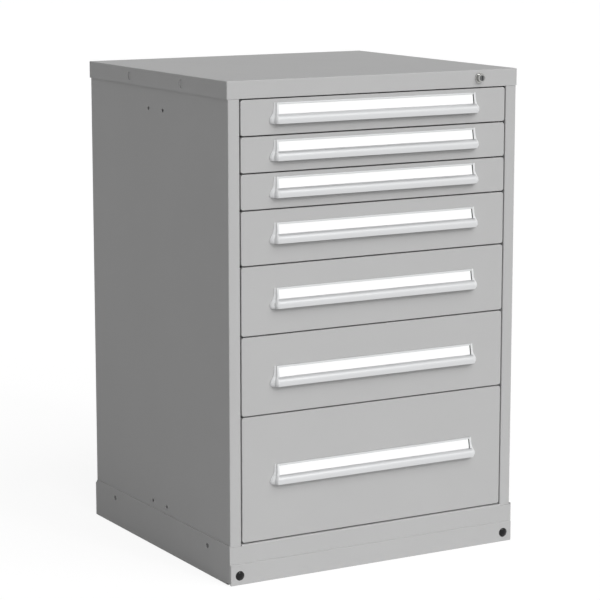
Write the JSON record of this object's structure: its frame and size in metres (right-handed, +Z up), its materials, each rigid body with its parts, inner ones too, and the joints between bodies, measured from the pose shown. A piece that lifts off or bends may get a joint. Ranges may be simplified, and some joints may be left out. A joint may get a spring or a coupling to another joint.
{
  "type": "modular drawer cabinet",
  "caption": "Free-standing steel cabinet with full-width drawers of graded heights on roller carriages, card-holder pulls, a gang lock and a fork-lift base.",
  "frame": {"origin": "bottom centre of the whole object's box, on the floor", "axes": "+X to the right seen from the front, +Y into the cabinet, +Z up"},
  "size_m": [0.762, 0.7174, 1.1273],
  "materials": {
    "grey_paint": "satin light grey powder coat",
    "handle_aluminium": "brushed and anodised",
    "cap_plastic": "moulded light grey",
    "card": "blank white card",
    "black_plastic": "moulded black",
    "zinc_steel": "zinc plated",
    "roller_steel": "ground",
    "lock_chrome": "polished"
  },
  "bodies": {
    "housing": {"right_side_panel": "grey_paint", "left_side_panel": "grey_paint", "back_panel": "grey_paint", "top_panel": "grey_paint", "floor_panel": "grey_paint", "base_frame": "grey_paint", "base_front_cover": "grey_paint", "cover_plugs": "black_plastic", "base_side_plugs": "black_plastic", "rail_uprights": "zinc_steel", "cabinet_rails": "zinc_steel", "lock_housing": "lock_chrome", "lock_guides": "zinc_steel"},
    "drawer_1": {"drawer_1_tray": "grey_paint", "drawer_1_front": "grey_paint", "drawer_1_handle": "handle_aluminium", "drawer_1_handle_caps": "cap_plastic", "drawer_1_label": "card"},
    "carriage_1": {"drawer_1_carriage": "roller_steel"},
    "drawer_2": {"drawer_2_tray": "grey_paint", "drawer_2_front": "grey_paint", "drawer_2_handle": "handle_aluminium", "drawer_2_handle_caps": "cap_plastic", "drawer_2_label": "card"},
    "carriage_2": {"drawer_2_carriage": "roller_steel"},
    "drawer_3": {"drawer_3_tray": "grey_paint", "drawer_3_front": "grey_paint", "drawer_3_handle": "handle_aluminium", "drawer_3_handle_caps": "cap_plastic", "drawer_3_label": "card"},
    "carriage_3": {"drawer_3_carriage": "roller_steel"},
    "drawer_4": {"drawer_4_tray": "grey_paint", "drawer_4_front": "grey_paint", "drawer_4_handle": "handle_aluminium", "drawer_4_handle_caps": "cap_plastic", "drawer_4_label": "card"},
    "carriage_4": {"drawer_4_carriage": "roller_steel"},
    "drawer_5": {"drawer_5_tray": "grey_paint", "drawer_5_front": "grey_paint", "drawer_5_handle": "handle_aluminium", "drawer_5_handle_caps": "cap_plastic", "drawer_5_label": "card"},
    "carriage_5": {"drawer_5_carriage": "roller_steel"},
    "drawer_6": {"drawer_6_tray": "grey_paint", "drawer_6_front": "grey_paint", "drawer_6_handle": "handle_aluminium", "drawer_6_handle_caps": "cap_plastic", "drawer_6_label": "card"},
    "carriage_6": {"drawer_6_carriage": "roller_steel"},
    "drawer_7": {"drawer_7_tray": "grey_paint", "drawer_7_front": "grey_paint", "drawer_7_handle": "handle_aluminium", "drawer_7_handle_caps": "cap_plastic", "drawer_7_label": "card"},
    "carriage_7": {"drawer_7_carriage": "roller_steel"},
    "lock_cylinder": {"lock_cylinder": "lock_chrome"},
    "lock_slide": {"lock_slide": "zinc_steel"},
    "lock_bar": {"lock_bar": "zinc_steel", "lock_tabs": "zinc_steel"}
  },
  "joints": [
    {"name": "drawer_1_slide", "type": "slide", "parent": "housing", "child": "drawer_1", "axis": [0, -1, 0], "range_m": [0, 0.6]},
    {"name": "carriage_1_slide", "type": "slide", "parent": "housing", "child": "carriage_1", "axis": [0, -1, 0], "range_m": [0, 0.3]},
    {"name": "drawer_2_slide", "type": "slide", "parent": "housing", "child": "drawer_2", "axis": [0, -1, 0], "range_m": [0, 0.6]},
    {"name": "carriage_2_slide", "type": "slide", "parent": "housing", "child": "carriage_2", "axis": [0, -1, 0], "range_m": [0, 0.3]},
    {"name": "drawer_3_slide", "type": "slide", "parent": "housing", "child": "drawer_3", "axis": [0, -1, 0], "range_m": [0, 0.6]},
    {"name": "carriage_3_slide", "type": "slide", "parent": "housing", "child": "carriage_3", "axis": [0, -1, 0], "range_m": [0, 0.3]},
    {"name": "drawer_4_slide", "type": "slide", "parent": "housing", "child": "drawer_4", "axis": [0, -1, 0], "range_m": [0, 0.6]},
    {"name": "carriage_4_slide", "type": "slide", "parent": "housing", "child": "carriage_4", "axis": [0, -1, 0], "range_m": [0, 0.3]},
    {"name": "drawer_5_slide", "type": "slide", "parent": "housing", "child": "drawer_5", "axis": [0, -1, 0], "range_m": [0, 0.6]},
    {"name": "carriage_5_slide", "type": "slide", "parent": "housing", "child": "carriage_5", "axis": [0, -1, 0], "range_m": [0, 0.3]},
    {"name": "drawer_6_slide", "type": "slide", "parent": "housing", "child": "drawer_6", "axis": [0, -1, 0], "range_m": [0, 0.6]},
    {"name": "carriage_6_slide", "type": "slide", "parent": "housing", "child": "carriage_6", "axis": [0, -1, 0], "range_m": [0, 0.3]},
    {"name": "drawer_7_slide", "type": "slide", "parent": "housing", "child": "drawer_7", "axis": [0, -1, 0], "range_m": [0, 0.6]},
    {"name": "carriage_7_slide", "type": "slide", "parent": "housing", "child": "carriage_7", "axis": [0, -1, 0], "range_m": [0, 0.3]},
    {"name": "lock_turn", "type": "hinge", "parent": "housing", "child": "lock_cylinder", "pos_m": [0.276, -0.34125, 1.109], "axis": [0, 1, 0], "range_deg": [0, 90]},
    {"name": "lock_slide_shift", "type": "slide", "parent": "housing", "child": "lock_slide", "axis": [1, 0, 0], "range_m": [0, 0.01]},
    {"name": "lock_bar_lift", "type": "slide", "parent": "housing", "child": "lock_bar", "axis": [0, 0, 1], "range_m": [0, 0.01]}
  ],
  "couplings": [
    {"joint": "carriage_1_slide", "follows": "drawer_1_slide", "ratio": 0.5},
    {"joint": "carriage_2_slide", "follows": "drawer_2_slide", "ratio": 0.5},
    {"joint": "carriage_3_slide", "follows": "drawer_3_slide", "ratio": 0.5},
    {"joint": "carriage_4_slide", "follows": "drawer_4_slide", "ratio": 0.5},
    {"joint": "carriage_5_slide", "follows": "drawer_5_slide", "ratio": 0.5},
    {"joint": "carriage_6_slide", "follows": "drawer_6_slide", "ratio": 0.5},
    {"joint": "carriage_7_slide", "follows": "drawer_7_slide", "ratio": 0.5},
    {"joint": "lock_slide_shift", "follows": "lock_turn", "m_per_rad": 0.0063022},
    {"joint": "lock_bar_lift", "follows": "lock_turn", "m_per_rad": 0.0063022}
  ]
}
